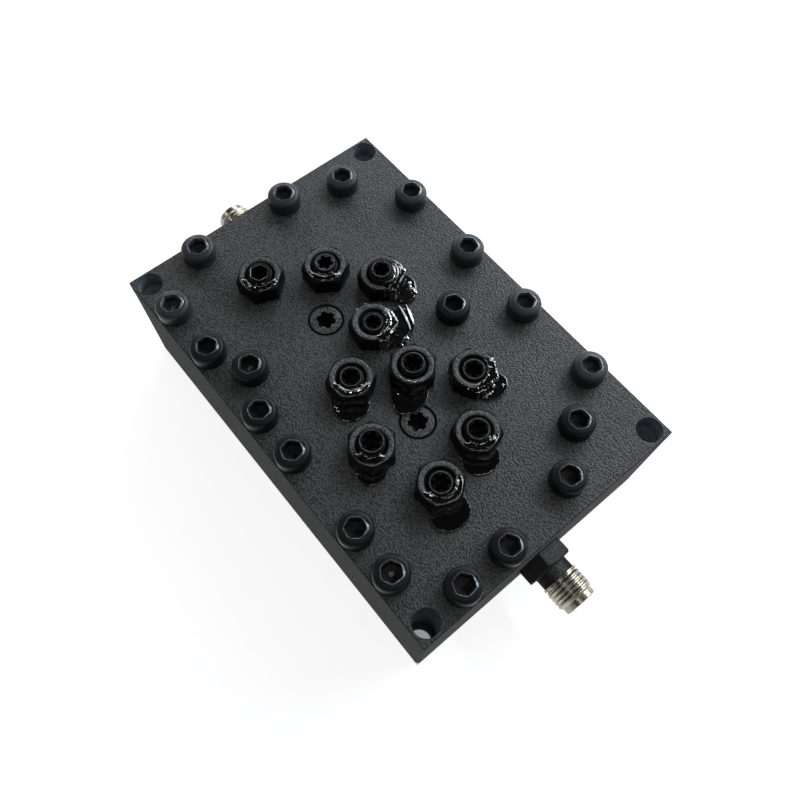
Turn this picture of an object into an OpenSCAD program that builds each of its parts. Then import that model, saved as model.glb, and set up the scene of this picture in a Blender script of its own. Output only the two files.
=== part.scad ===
// Five-pole coaxial-cavity bandpass filter: a milled block with a screwed cover,
// ten adjusting screws with lock nuts, and one coaxial jack at each end.
// Millimetres. Origin at the centre of the base, +Z up, +X towards the near jack.

/* [Block] */
// Block length along X
block_l = 75; // [70:0.5:90]
// Block width along Y
block_w = 50; // [48:0.5:60]
// Height of the milled housing, without the cover
housing_h = 19; // [17:0.5:24]
// Thickness of the cover plate
cover_t = 3; // [2:0.5:4]
// Flat on the four upright edges of the housing
edge_flat = 0.5; // [0.2:0.1:1]
// Diameter of the four corner fixing holes
corner_hole_d = 4; // [3.2:0.1:4.2]
// Distance of each corner hole from the two nearest sides
corner_inset = 2.5; // [2.5:0.1:4]

/* [Cavities] */
// Diameter of each round cavity
cavity_d = 17.6; // [16:0.2:17.8]
// Thickness of the cavity floor
floor_t = 2.5; // [2:0.1:4]
// Fillet of the cavity floor, set by the cutter
floor_r = 1; // [0.5:0.1:1.5]
// Diameter of each resonator post
post_d = 7; // [6:0.1:8]
// Height of each resonator post over the cavity floor
post_h = 11.5; // [9:0.5:13]
// Diameter of the bore in each post
post_bore_d = 5.2; // [4.8:0.1:5.6]
// Depth of the bore in each post
post_bore_depth = 9; // [6:0.5:10]
// Width of the coupling windows between neighbouring cavities
iris_w = 7.6; // [6:0.2:9]
// Length of a coupling window, enough to open both cavities
iris_l = 9; // [8:0.5:10]
// Height of the sill under each coupling window
iris_sill = 4; // [2.5:0.5:8]
// Width of the cross-coupling window
cross_w = 6; // [4:0.2:7]
// Length of the cross-coupling window
cross_l = 9; // [8:0.5:12]
// Height of the sill under the cross-coupling window
cross_sill = 8; // [4:0.5:10]

/* [Cover screws] */
// Thread diameter of the cover screws
screw_d = 3; // [2.5:0.5:3]
// Diameter of the clearance holes in the cover
screw_hole_d = 3.4; // [3.2:0.1:3.6]
// Length of the shank under the head
screw_l = 8; // [6:1:10]
// Depth of each tapped hole past the end of its screw
tap_run = 1.5; // [1:0.1:2]
// Distance of the end screws from the end faces
end_screw_inset = 2.9; // [2.8:0.1:3.5]
// Distance of the side screws from the side faces
side_screw_inset = 2.9; // [2.8:0.1:3.5]
// Head diameter
head_d = 5.5; // [5.2:0.1:5.7]
// Head height
head_h = 2.8; // [2.5:0.1:3]
// Radius of the rounded shoulder of the head
head_r = 0.8; // [0.3:0.1:1]
// Width across the flats of the key socket
head_key = 2.5; // [2:0.5:2.5]
// Depth of the key socket
head_key_depth = 1.5; // [1:0.1:1.8]
// Chamfer of the mouth of the key socket
head_key_chamfer = 0.3; // [0.1:0.05:0.4]

/* [Flush screws] */
// Rim diameter of the countersunk heads
flush_head_d = 5.5; // [5:0.1:5.6]
// Mouth diameter of the countersinks in the cover
flush_mouth_d = 6; // [5.8:0.1:6.4]
// Depth of the six-lobe sockets of the countersunk screws
flush_key_depth = 1.3; // [1:0.1:1.5]
// Length of the countersunk screws, head included
flush_l = 8; // [6:1:10]

/* [Adjusting screws] */
// Thread diameter of the adjusting screws
tune_d = 4; // [3.8:0.1:4.4]
// Chamfer at both ends of the adjusting screws
tune_chamfer = 0.35; // [0.2:0.05:0.5]
// Length of the five resonator screws
tune_l = 14; // [12:1:16]
// Length of the four coupling screws
couple_l = 10; // [8:1:12]
// Length of the cross-coupling screw
cross_screw_l = 12; // [8:1:12]
// Width across the flats of the hexagon key socket
tune_key = 2.5; // [2:0.1:2.5]
// Depth of the key sockets
tune_key_depth = 2.2; // [1.5:0.1:3]
// Outer diameter of the six-lobe sockets
lobe_d = 2.8; // [2.6:0.1:2.9]
// Root diameter of the six-lobe sockets
lobe_root_d = 2.04; // [1.7:0.02:2.1]
// Radius of the ribs between the lobes
lobe_rib_r = 0.45; // [0.3:0.05:0.6]

/* [Lock nuts] */
// Width across the flats
nut_af = 7; // [6:0.5:8]
// Nut height
nut_h = 3.2; // [2.5:0.1:4]
// Diameter of the flat face inside the chamfered corners
nut_face_d = 6.65; // [6:0.05:6.8]
// Mouth diameter of the countersink in the nut's top face
nut_mouth_d = 5; // [4.3:0.1:5.2]
// Angle of the corner chamfer from the face
nut_chamfer_angle = 30; // [15:5:30]

/* [Coaxial jacks] */
// Height of the jack axis over the base
jack_z = 10; // [9:0.5:12]
// Offset of the jack axis from the middle of the end face
jack_y = -0.5; // [-2:0.1:2]
// Outer diameter of the coupling thread, a quarter of an inch
jack_thread_d = 6.35; // [6.3:0.05:6.35]
// Length of the thread screwed into the housing
jack_root_l = 5.5; // [4:0.5:6]
// Width across the flats of the jack's hexagon
jack_hex_af = 8; // [7:0.1:8]
// Thickness of the hexagon
jack_hex_t = 2.7; // [2:0.1:3]
// Diameter of the flat inside the hexagon's chamfered corners
jack_hex_face_d = 8.3; // [7.8:0.1:9]
// Turn of the near jack's hexagon where the thread came tight
jack_turn_near = 14.4; // [0:0.1:60]
// Turn of the far jack's hexagon where the thread came tight
jack_turn_far = 20; // [0:0.1:60]
// Neck diameter between the hexagon and the coupling thread
jack_neck_d = 5.8; // [5:0.1:6]
// Neck length
jack_neck_l = 1.95; // [1:0.05:3]
// Length of the coupling thread
jack_thread_l = 3.85; // [3:0.05:6]
// Diameter of the nose in front of the thread
jack_nose_d = 5.5; // [5.3:0.05:5.6]
// Length of the nose
jack_nose_l = 1.1; // [0.5:0.05:2]
// Diameter of the recess that takes the plug
jack_recess_d = 4.6; // [4.55:0.01:4.65]
// Depth of the recess from the nose to the dielectric
jack_recess_depth = 1.9; // [1.8:0.02:2]
// Diameter of the dielectric
dielectric_d = 4.1; // [4:0.05:4.2]
// Diameter of the centre contact
contact_d = 1.27; // [1.2:0.01:1.3]
// Diameter of the contact's pin socket
contact_socket_d = 0.94; // [0.9:0.01:0.98]
// Depth of the contact's pin socket
contact_socket_depth = 2.9; // [2:0.1:4]
// Length of the contact behind the dielectric
contact_tail = 2.5; // [1.5:0.1:3]
// Width of the slots that make the contact springy
contact_slot = 0.2; // [0.1:0.05:0.3]
// Diameter of the tap wire
wire_d = 0.8; // [0.5:0.1:0.8]
// Bend radius of the tap wire
wire_bend_r = 1.2; // [0.8:0.1:2]
// Straight wire between the solder cup and the bend
wire_lead = 0.6; // [0.4:0.1:1]
// Length of wire in the contact's solder cup
cup_depth = 1.5; // [1:0.1:2]
// Diameter of the pocket where each jack enters
feed_d = 6.6; // [6:0.1:7]
// Depth of the feed pocket under the jack axis
feed_drop = 4; // [3.5:0.5:5]
// Width of the channel from the feed pocket to the end cavity
feed_w = 5; // [4:0.2:6]

/* [Hidden] */
$fn = 64;
eps = 0.01;
top_z = housing_h + cover_t;
half_l = block_l / 2;
half_w = block_w / 2;
// Resonators 1 to 5: place, turn of the lock nut, screw top over the cover
RES = [
  [-23.4, -8.2, 9.2, 3.7],
  [-11.3, 7.3, 55.4, 4.2],
  [0.4, -8.2, 0.7, 3.3],
  [11.2, 7.3, 28.8, 3.1],
  [21.7, -8.6, 9.3, 3.2]];
// Couplings 1-2, 2-3, 3-4 and 4-5: place, turn of the lock nut, screw top over the cover
CPL = [
  [-18.3, 1.2, 57.6, 3.7],
  [-5, 0.5, 50.6, 3.1],
  [4.7, 0.5, 17.4, 3.8],
  [19.1, 0.9, 46, 3.8]];
// Cross coupling 3-5
CRS = [10.9, -12.6, 22.6, 4.6];
// Cap screws of the cover
ex = half_l - end_screw_inset;
ey = half_w - side_screw_inset;
CAPS = [
  [-ex, -12.9], [-ex, 4.6], [-31.4, 14.8],
  [-21.4, ey], [-6.6, ey], [7.2, ey], [22.1, ey],
  [0.3, 12.8], [27.3, 14.1], [32.7, 6.8],
  [ex, -7], [ex, -15.5],
  [-28, -ey], [-18.1, -ey], [-11.4, -18.8], [-4.2, -ey], [4.1, -ey], [19, -ey], [27, -ey]];
// Turn of each cap screw where it came tight
CAP_TURN = [42, 9, 27, 6, 48, 57, 27, 9, 3, 24, 30, 39, 12, 27, 18, 48, 45, 51, 27];
// Countersunk screws of the cover, and their turns
FLUSH = [[-11.5, -4.1, 10], [11.5, -4.1, 35]];
pitch_x = block_l - 2 * corner_inset;
pitch_y = block_w - 2 * corner_inset;
cap_tap = screw_l - cover_t + tap_run;
flush_tap = flush_l - cover_t + tap_run;
flush_rim = (flush_mouth_d - flush_head_d) / 2;
feed_x = half_l - jack_root_l - feed_d / 2 + 0.6;
contact_end = half_l - jack_root_l - contact_tail;
jack_front = jack_hex_t + jack_neck_l + jack_thread_l + jack_nose_l;
seat_z = jack_front - jack_recess_depth;
lobe_rib_at = lobe_root_d / 2 + lobe_rib_r;

// A hole or bar along Z from z0 to z1
module rod(x, y, z0, z1, d) {
  translate([x, y, z0])
    cylinder(d = d, h = z1 - z0);
}

// The four corner fixing holes
module corner_holes(z0, z1) {
  for (sx = [-1, 1])
    for (sy = [-1, 1])
      rod(sx * pitch_x / 2, sy * pitch_y / 2, z0, z1, corner_hole_d);
}

// A slot with its middle at p, running along the line from a to b
module window(p, a, b, w, l, sill) {
  turn = atan2(b[1] - a[1], b[0] - a[0]);
  translate([p[0], p[1], sill])
    rotate([0, 0, turn])
      translate([-l / 2, -w / 2, 0])
        cube([l, w, housing_h - sill + 1]);
}

// One cavity with a cutter fillet round its floor
module cavity(p) {
  r = cavity_d / 2;
  translate([p[0], p[1], floor_t])
    rotate_extrude() {
      square([r - floor_r, housing_h - floor_t + 1]);
      translate([0, floor_r])
        square([r, housing_h - floor_t + 1 - floor_r]);
      translate([r - floor_r, floor_r])
        circle(r = floor_r);
    }
}

// The pocket behind a jack and its channel to the end cavity at p
module feed(side, p) {
  z0 = jack_z - feed_drop;
  px = side * feed_x;
  dx = p[0] - px;
  dy = p[1] - jack_y;
  rod(px, jack_y, z0, housing_h + 1, feed_d);
  translate([px, jack_y, z0])
    rotate([0, 0, atan2(dy, dx)])
      translate([0, -feed_w / 2, 0])
        cube([norm([dx, dy]) - post_d / 2 - 1, feed_w, housing_h - z0 + 1]);
}

// A bore along X for the root of a jack
module jack_bore(side) {
  translate([side * feed_x, jack_y, jack_z])
    rotate([0, side * 90, 0])
      cylinder(d = jack_thread_d, h = half_l);
}

// A resonator post standing on the cavity floor
module post(p) {
  difference() {
    rod(p[0], p[1], floor_t - 1, floor_t + post_h, post_d);
    rod(p[0], p[1], floor_t + post_h - post_bore_depth, floor_t + post_h + 1, post_bore_d);
  }
}

module housing() {
  f = edge_flat;
  color("#3b3a37")
    union() {
      difference() {
        linear_extrude(height = housing_h)
          polygon([
            [-half_l + f, -half_w], [half_l - f, -half_w],
            [half_l, -half_w + f], [half_l, half_w - f],
            [half_l - f, half_w], [-half_l + f, half_w],
            [-half_l, half_w - f], [-half_l, -half_w + f]]);
        for (p = RES)
          cavity(p);
        for (i = [0:3])
          window(CPL[i], RES[i], RES[i + 1], iris_w, iris_l, iris_sill);
        window(CRS, RES[2], RES[4], cross_w, cross_l, cross_sill);
        feed(-1, RES[0]);
        feed(1, RES[4]);
        jack_bore(-1);
        jack_bore(1);
        corner_holes(-1, housing_h + 1);
        for (p = CAPS)
          rod(p[0], p[1], housing_h - cap_tap, housing_h + 1, screw_d);
        for (p = FLUSH)
          rod(p[0], p[1], housing_h - flush_tap, housing_h + 1, screw_d);
      }
      for (p = RES)
        post(p);
    }
}

module cover() {
  color("#333331")
    difference() {
      translate([-half_l, -half_w, housing_h])
        cube([block_l, block_w, cover_t]);
      corner_holes(housing_h - 1, top_z + 1);
      for (p = CAPS)
        rod(p[0], p[1], housing_h - 1, top_z + 1, screw_hole_d);
      for (p = concat(RES, CPL, [CRS]))
        rod(p[0], p[1], housing_h - 1, top_z + 1, tune_d);
      for (p = FLUSH) {
        rod(p[0], p[1], housing_h - 1, top_z + 1, screw_d);
        translate([p[0], p[1], top_z - flush_mouth_d / 2])
          cylinder(h = flush_mouth_d / 2 + 1, r1 = 0, r2 = flush_mouth_d / 2 + 1);
      }
    }
}

// A six-lobe recess, mouth up at z = 0
module six_lobe(depth) {
  translate([0, 0, -depth])
    linear_extrude(height = depth + 1)
      difference() {
        circle(d = lobe_d);
        for (i = [0:5])
          rotate(60 * i)
            translate([lobe_rib_at, 0])
              circle(r = lobe_rib_r);
      }
}

// A hexagon recess, mouth up at z = 0
module hex_recess(af, depth) {
  translate([0, 0, -depth])
    cylinder(h = depth + 1, d = af / cos(30), $fn = 6);
}

// A chamfered ring round a socket mouth at z = 0
module mouth(r, c) {
  translate([0, 0, -c])
    cylinder(h = c + 1, r1 = r, r2 = r + c + 1);
}

module cap_screw() {
  difference() {
    union() {
      rotate_extrude() {
        square([head_d / 2 - head_r, head_h]);
        square([head_d / 2, head_h - head_r]);
        translate([head_d / 2 - head_r, head_h - head_r])
          circle(r = head_r);
      }
      translate([0, 0, -screw_l])
        cylinder(d = screw_d, h = screw_l + eps);
    }
    translate([0, 0, head_h]) {
      hex_recess(head_key, head_key_depth);
      mouth(head_key / 2 + 0.05, head_key_chamfer);
    }
  }
}

module cover_screws() {
  color("#26282a")
    for (i = [0:len(CAPS) - 1])
      translate([CAPS[i][0], CAPS[i][1], top_z])
        rotate([0, 0, CAP_TURN[i]])
          cap_screw();
}

// A countersunk screw, its top level with the cover's face
module flush_screw() {
  cone_h = (flush_head_d - screw_d) / 2;
  difference() {
    union() {
      translate([0, 0, -flush_rim])
        cylinder(d = flush_head_d, h = flush_rim);
      translate([0, 0, -flush_rim - cone_h])
        cylinder(h = cone_h, d1 = screw_d, d2 = flush_head_d);
      translate([0, 0, -flush_l])
        cylinder(d = screw_d, h = flush_l - flush_rim - cone_h);
    }
    six_lobe(flush_key_depth);
  }
}

module flush_screws() {
  color("#2c2d2e")
    for (p = FLUSH)
      translate([p[0], p[1], top_z])
        rotate([0, 0, p[2]])
          flush_screw();
}

// An adjusting screw with its top p[3] over the cover
module adjuster(p, l, hex_key) {
  color("#202224")
    translate([p[0], p[1], top_z + p[3]])
      rotate([0, 0, p[2] + 15])
        difference() {
          union() {
            translate([0, 0, -tune_chamfer])
              cylinder(h = tune_chamfer, d1 = tune_d, d2 = tune_d - 2 * tune_chamfer);
            translate([0, 0, -l + tune_chamfer])
              cylinder(h = l - 2 * tune_chamfer, d = tune_d);
            translate([0, 0, -l])
              cylinder(h = tune_chamfer, d1 = tune_d - 2 * tune_chamfer, d2 = tune_d);
          }
          if (hex_key)
            hex_recess(tune_key, tune_key_depth);
          else
            six_lobe(tune_key_depth);
        }
}

// A hexagon on z = 0 with the corners of its upper face chamfered to a circle
module chamfered_hex(af, h, face_d, angle) {
  drop = (af - face_d / 2) * tan(angle);
  intersection() {
    cylinder(h = h, d = af / cos(30), $fn = 6);
    rotate_extrude()
      polygon([[0, -1], [af, -1], [af, h - drop], [face_d / 2, h], [0, h]]);
  }
}

// A lock nut standing on the cover
module lock_nut(p) {
  color("#232527")
    translate([p[0], p[1], top_z])
      rotate([0, 0, p[2]])
        difference() {
          chamfered_hex(nut_af, nut_h, nut_face_d, nut_chamfer_angle);
          translate([0, 0, -1])
            cylinder(h = nut_h + 2, d = tune_d);
          translate([0, 0, nut_h - (nut_mouth_d - tune_d) / 2])
            cylinder(h = (nut_mouth_d - tune_d) / 2 + 1,
              d1 = tune_d, d2 = nut_mouth_d + 2);
        }
}

// Puts a jack piece built along +Z from the wall at z = 0 on an end face
module on_end(side) {
  translate([side * half_l, jack_y, jack_z])
    rotate([0, side * 90, 0])
      children();
}

// Shell of a jack: root thread, hexagon, neck, coupling thread and nose
module jack_shell(side, turn) {
  a = jack_hex_t;
  b = a + jack_neck_l;
  c = b + jack_thread_l;
  lead = (jack_thread_d - jack_nose_d) / 2;
  color("#b9b4a6")
    on_end(side)
      difference() {
        union() {
          translate([0, 0, -jack_root_l])
            cylinder(d = jack_thread_d, h = jack_root_l + eps);
          rotate([0, 0, turn])
            chamfered_hex(jack_hex_af, a, jack_hex_face_d, 30);
          translate([0, 0, a - eps])
            cylinder(d = jack_neck_d, h = jack_neck_l + 2 * eps);
          translate([0, 0, b])
            cylinder(d = jack_thread_d, h = jack_thread_l - lead);
          translate([0, 0, c - lead])
            cylinder(d1 = jack_thread_d, d2 = jack_nose_d, h = lead);
          translate([0, 0, c - eps])
            cylinder(d = jack_nose_d, h = jack_nose_l + eps);
        }
        translate([0, 0, -jack_root_l - 1])
          cylinder(d = dielectric_d, h = jack_root_l + seat_z + 1 + eps);
        translate([0, 0, seat_z])
          cylinder(d = jack_recess_d, h = jack_recess_depth + 1);
      }
}

module dielectric(side) {
  color("#e9e6de")
    on_end(side)
      difference() {
        translate([0, 0, -jack_root_l])
          cylinder(d = dielectric_d, h = jack_root_l + seat_z);
        translate([0, 0, -jack_root_l - 1])
          cylinder(d = contact_d, h = jack_root_l + seat_z + 2);
      }
}

module contact(side) {
  color("#c9a54a")
    on_end(side)
      difference() {
        translate([0, 0, -jack_root_l - contact_tail])
          cylinder(d = contact_d, h = jack_root_l + contact_tail + seat_z);
        translate([0, 0, seat_z - contact_socket_depth])
          cylinder(d = contact_socket_d, h = contact_socket_depth + 1);
        for (turn = [0, 90])
          rotate([0, 0, turn])
            translate([-contact_d, -contact_slot / 2, seat_z - contact_socket_depth + 0.6])
              cube([2 * contact_d, contact_slot, contact_socket_depth + 1]);
        translate([0, 0, -jack_root_l - contact_tail - 1])
          cylinder(d = wire_d, h = cup_depth + 1);
      }
}

// The wire from a contact's solder cup to a resonator post, drawn on the +X side
// with the post at [px, py]: straight out of the cup, one bend, straight to the post
module wire_path(px, py) {
  bx = contact_end - wire_lead;
  tx = px - bx;
  ty = py - jack_y + wire_bend_r;
  n = norm([tx, ty]);
  bend = 90 + atan2(-ty, -tx) - acos(wire_bend_r / n);
  difference() {
    translate([bx, jack_y - wire_bend_r, jack_z]) {
      translate([0, wire_bend_r, 0])
        rotate([0, 90, 0])
          cylinder(d = wire_d, h = wire_lead + cup_depth);
      rotate([0, 0, 90])
        rotate_extrude(angle = bend)
          translate([wire_bend_r, 0])
            circle(d = wire_d);
      rotate([0, 0, 90 + bend])
        translate([wire_bend_r, 0, 0])
          rotate([-90, 0, 0])
            cylinder(d = wire_d, h = sqrt(n * n - wire_bend_r * wire_bend_r));
    }
    rod(px, py, 0, housing_h, post_d);
  }
}

module tap_wire_near() {
  color("#cfcabb")
    wire_path(RES[4][0], RES[4][1]);
}

module tap_wire_far() {
  color("#cfcabb")
    mirror([1, 0, 0])
      wire_path(-RES[0][0], RES[0][1]);
}

module tuning_screw_1() {
  adjuster(RES[0], tune_l, true);
}

module tuning_screw_2() {
  adjuster(RES[1], tune_l, false);
}

module tuning_screw_3() {
  adjuster(RES[2], tune_l, false);
}

module tuning_screw_4() {
  adjuster(RES[3], tune_l, false);
}

module tuning_screw_5() {
  adjuster(RES[4], tune_l, false);
}

module coupling_screw_12() {
  adjuster(CPL[0], couple_l, false);
}

module coupling_screw_23() {
  adjuster(CPL[1], couple_l, false);
}

module coupling_screw_34() {
  adjuster(CPL[2], couple_l, false);
}

module coupling_screw_45() {
  adjuster(CPL[3], couple_l, false);
}

module cross_screw_35() {
  adjuster(CRS, cross_screw_l, false);
}

module lock_nut_1() {
  lock_nut(RES[0]);
}

module lock_nut_2() {
  lock_nut(RES[1]);
}

module lock_nut_3() {
  lock_nut(RES[2]);
}

module lock_nut_4() {
  lock_nut(RES[3]);
}

module lock_nut_5() {
  lock_nut(RES[4]);
}

module lock_nut_12() {
  lock_nut(CPL[0]);
}

module lock_nut_23() {
  lock_nut(CPL[1]);
}

module lock_nut_34() {
  lock_nut(CPL[2]);
}

module lock_nut_45() {
  lock_nut(CPL[3]);
}

module lock_nut_35() {
  lock_nut(CRS);
}

module jack_shell_near() {
  jack_shell(1, jack_turn_near);
}

module jack_shell_far() {
  jack_shell(-1, jack_turn_far);
}

module dielectric_near() {
  dielectric(1);
}

module dielectric_far() {
  dielectric(-1);
}

module contact_near() {
  contact(1);
}

module contact_far() {
  contact(-1);
}

housing();
cover();
cover_screws();
flush_screws();
tuning_screw_1();
tuning_screw_2();
tuning_screw_3();
tuning_screw_4();
tuning_screw_5();
coupling_screw_12();
coupling_screw_23();
coupling_screw_34();
coupling_screw_45();
cross_screw_35();
lock_nut_1();
lock_nut_2();
lock_nut_3();
lock_nut_4();
lock_nut_5();
lock_nut_12();
lock_nut_23();
lock_nut_34();
lock_nut_45();
lock_nut_35();
jack_shell_near();
jack_shell_far();
dielectric_near();
dielectric_far();
contact_near();
contact_far();
tap_wire_near();
tap_wire_far();
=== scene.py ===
"""Looks of a five-pole cavity bandpass filter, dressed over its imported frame."""

import math
from functools import cache, partial

import bmesh
import bpy
from bpy.props import FloatProperty, FloatVectorProperty, PointerProperty
from mathutils import Matrix, Vector, noise


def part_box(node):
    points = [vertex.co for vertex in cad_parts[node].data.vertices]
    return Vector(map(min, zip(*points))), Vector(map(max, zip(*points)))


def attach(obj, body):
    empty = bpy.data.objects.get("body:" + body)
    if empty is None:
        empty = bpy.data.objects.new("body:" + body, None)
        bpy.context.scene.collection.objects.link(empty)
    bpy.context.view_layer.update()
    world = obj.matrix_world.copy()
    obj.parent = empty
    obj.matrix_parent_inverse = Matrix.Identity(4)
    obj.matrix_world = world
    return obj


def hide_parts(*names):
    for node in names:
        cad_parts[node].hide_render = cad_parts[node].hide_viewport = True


bl_info = {
    "name": "Cavity filter looks",
    "version": (1, 0, 0),
    "blender": (4, 5, 0),
    "location": "View3D > Sidebar > Cavity filter",
    "description": "Builds the finished surfaces of a cavity bandpass filter",
    "category": "Object",
}

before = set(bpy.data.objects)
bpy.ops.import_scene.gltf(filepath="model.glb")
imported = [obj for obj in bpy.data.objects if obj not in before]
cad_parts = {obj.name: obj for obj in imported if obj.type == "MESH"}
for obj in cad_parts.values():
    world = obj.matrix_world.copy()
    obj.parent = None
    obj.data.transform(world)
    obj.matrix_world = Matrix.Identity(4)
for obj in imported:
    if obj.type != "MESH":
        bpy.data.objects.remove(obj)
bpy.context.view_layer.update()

MM = 0.001
BLOCK_HALF_L, BLOCK_HALF_W, COVER_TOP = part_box("cover")[1]
# Axis of one of the four fixing holes, and a radius just past its wall.
FIXING, FIXING_REACH = Vector((35, 22.5, 0)) * MM, 2.1 * MM
JACK_HEIGHT = 10 * MM
NUT_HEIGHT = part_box("lock_nut_1")[1].z - COVER_TOP

# A lock nut in mm: axis to a flat, rounding of its corners, radius where its flat face ends.
NUT_FLAT, NUT_ROUNDING, NUT_FACE_END = 3.5, 0.5, 3.325
CHAMFER = math.tan(math.radians(30))

# Foot of an M3 cover screw under the cover's face: radius and height in mm.
SHANK = [(1.2, -8), (1.5, -7.7)]

# Each adjusting screw: its node, turn of its lock nut, how its top looks (a hexagon socket, a
# six-lobe socket in a worn ring, or a bare worn top), and the radius of the worn edge in mm.
STACKS = {
    "1": ("tuning_screw_1", 9.2, "hexagon", 1.5),
    "2": ("tuning_screw_2", 55.4, "ring", 1.46),
    "3": ("tuning_screw_3", 0.7, "ring", 1.56),
    "4": ("tuning_screw_4", 28.8, "ring", 1.6),
    "5": ("tuning_screw_5", 9.3, "ring", 1.62),
    "12": ("coupling_screw_12", 57.6, "bare", 1.5),
    "23": ("coupling_screw_23", 50.6, "ring", 1.42),
    "34": ("coupling_screw_34", 17.4, "ring", 1.66),
    "45": ("coupling_screw_45", 46, "ring", 1.6),
    "35": ("cross_screw_35", 22.6, "ring", 1.72),
}
# A screw's key socket is turned this much further than its nut.
SOCKET_TURN = 15

# Cap screws of the cover: place in mm and turn of the key socket.
CAPS = [
    (-34.6, -12.9, 42), (-34.6, 4.6, 9), (-31.4, 14.8, 27), (-21.4, 22.1, 6), (-6.6, 22.1, 48),
    (7.2, 22.1, 57), (22.1, 22.1, 27), (0.3, 12.8, 9), (27.3, 14.1, 3), (32.7, 6.8, 24),
    (34.6, -7, 30), (34.6, -15.5, 39), (-28, -22.1, 12), (-18.1, -22.1, 27), (-11.4, -18.8, 18),
    (-4.2, -22.1, 48), (4.1, -22.1, 45), (19, -22.1, 51), (27, -22.1, 27),
]
# Caps painted bluish grey for the haze of light over the block's far part, a painted haze;
# then caps whose socket floor is painted pale for the light that falls into it.
DULL_CAPS = (0, 1, 2, 3, 4, 5, 6, 12)
PALE_SOCKETS = (12, 14, 18)
# Countersunk screws of the cover: place in mm and turn of the key socket.
FLUSH = [(-11.5, -4.1, 10), (11.5, -4.1, 35)]

# Where each lacquer pool ends on the cover: angle about the nut, distance in mm.
POOLS = {
    "2": [(335, 3.6), (355, 4.4), (7, 6.1), (19, 6.3), (31, 6.2), (43, 5.9), (56, 5.4), (66, 4.4),
          (76, 3.6)],
    "23": [(325, 3.3), (338, 3.7), (350, 4.1), (12, 4.6), (25, 5.2), (43, 5.8), (62, 6.6),
           (76, 7.1), (88, 7.4), (97, 4.8), (104, 3.6)],
    "3": [(262, 3.6), (286, 5), (300, 5.8), (314, 6.3), (322, 6.3), (340, 5.7), (356, 5.1),
          (8, 3.6)],
    "34": [(255, 3.6), (272, 4.6), (283, 5.2), (292, 6.3), (298, 7.2), (304, 7.7), (312, 7.2),
           (326, 6.8), (340, 5.7), (350, 4.9), (2, 3.6)],
    "4": [(335, 3.6), (346, 4.3), (359, 5), (13, 5.5), (29, 5.9), (38, 5.8), (53, 5.2),
          (64, 3.6)],
    "35": [(268, 3.6), (284, 4.4), (298, 4.9), (313, 5.8), (322, 5.4), (335, 5.1), (347, 4.6),
           (3, 3.6)],
    "45": [(280, 3.6), (295, 4.9), (308, 5.7), (318, 6.1), (339, 6), (352, 5.7), (3, 5.3),
           (11, 4.8), (20, 3.6)],
    "5": [(285, 3.6), (298, 4.4), (312, 6.1), (323, 6.6), (339, 6.7), (351, 6.6), (11, 6),
          (21, 5.2), (30, 3.6)],
}

# The lacquer film on each nut, in mm: inner radius, radius of its raised lip, height of its
# ripples, thickness of its pool. Then whether it runs over the nut's edge, angles where its lip
# starts and ends, and how far it covers the top: angle about the nut, cover 0 to 1.
FILMS = {
    "1": (2.35, 2.7, 0, 0.3, False, 280, 28, [(240, 0), (262, 0.8), (320, 1), (10, 0.9), (48, 0)]),
    "12": (2.3, 2.75, 0, 0.3, False, 272, 22, [(258, 0), (280, 0.9), (320, 1), (0, 0.9), (28, 0)]),
    "2": (1.95, 2.7, 0.03, 0.75, True, 20, 88,
          [(318, 0), (342, 0.6), (8, 1), (50, 1), (90, 0.8), (106, 0)]),
    "23": (2.2, 2.8, 0, 0.7, True, 358, 106,
           [(330, 0), (355, 0.8), (10, 1), (60, 1), (90, 0.8), (105, 0)]),
    "3": (2.2, 2.65, 0, 0.3, False, 255, 28, [(245, 0), (265, 0.9), (330, 1), (15, 0.9), (38, 0)]),
    "34": (2.95, 3.1, 0, 0.3, False, 275, 306,
           [(265, 0), (285, 0.6), (330, 0.7), (350, 0.4), (5, 0)]),
    "4": (2.3, 2.6, 0, 0.5, True, 326, 26, [(325, 0), (345, 0.6), (20, 1), (68, 0.9), (92, 0)]),
    "35": (1.95, 2.5, 0, 0.3, False, 358, 16, [(255, 0), (278, 1), (320, 1), (355, 0.9), (12, 0)]),
    "45": (1.95, 2.55, 0, 0.35, False, 4, 26, [(272, 0), (295, 1), (330, 1), (15, 1), (42, 0)]),
    "5": (2, 2.4, 0, 0.35, False, 330, 80,
          [(252, 0), (275, 0.8), (340, 1), (30, 1), (60, 0.7), (80, 0)]),
}

# Slope of the lip's outer side: angle about the nut, degrees.
LIP_SLOPE = [(180, 21), (13, 21), (30, 28), (55, 23), (74, 19), (90, 30), (110, 30)]

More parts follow.
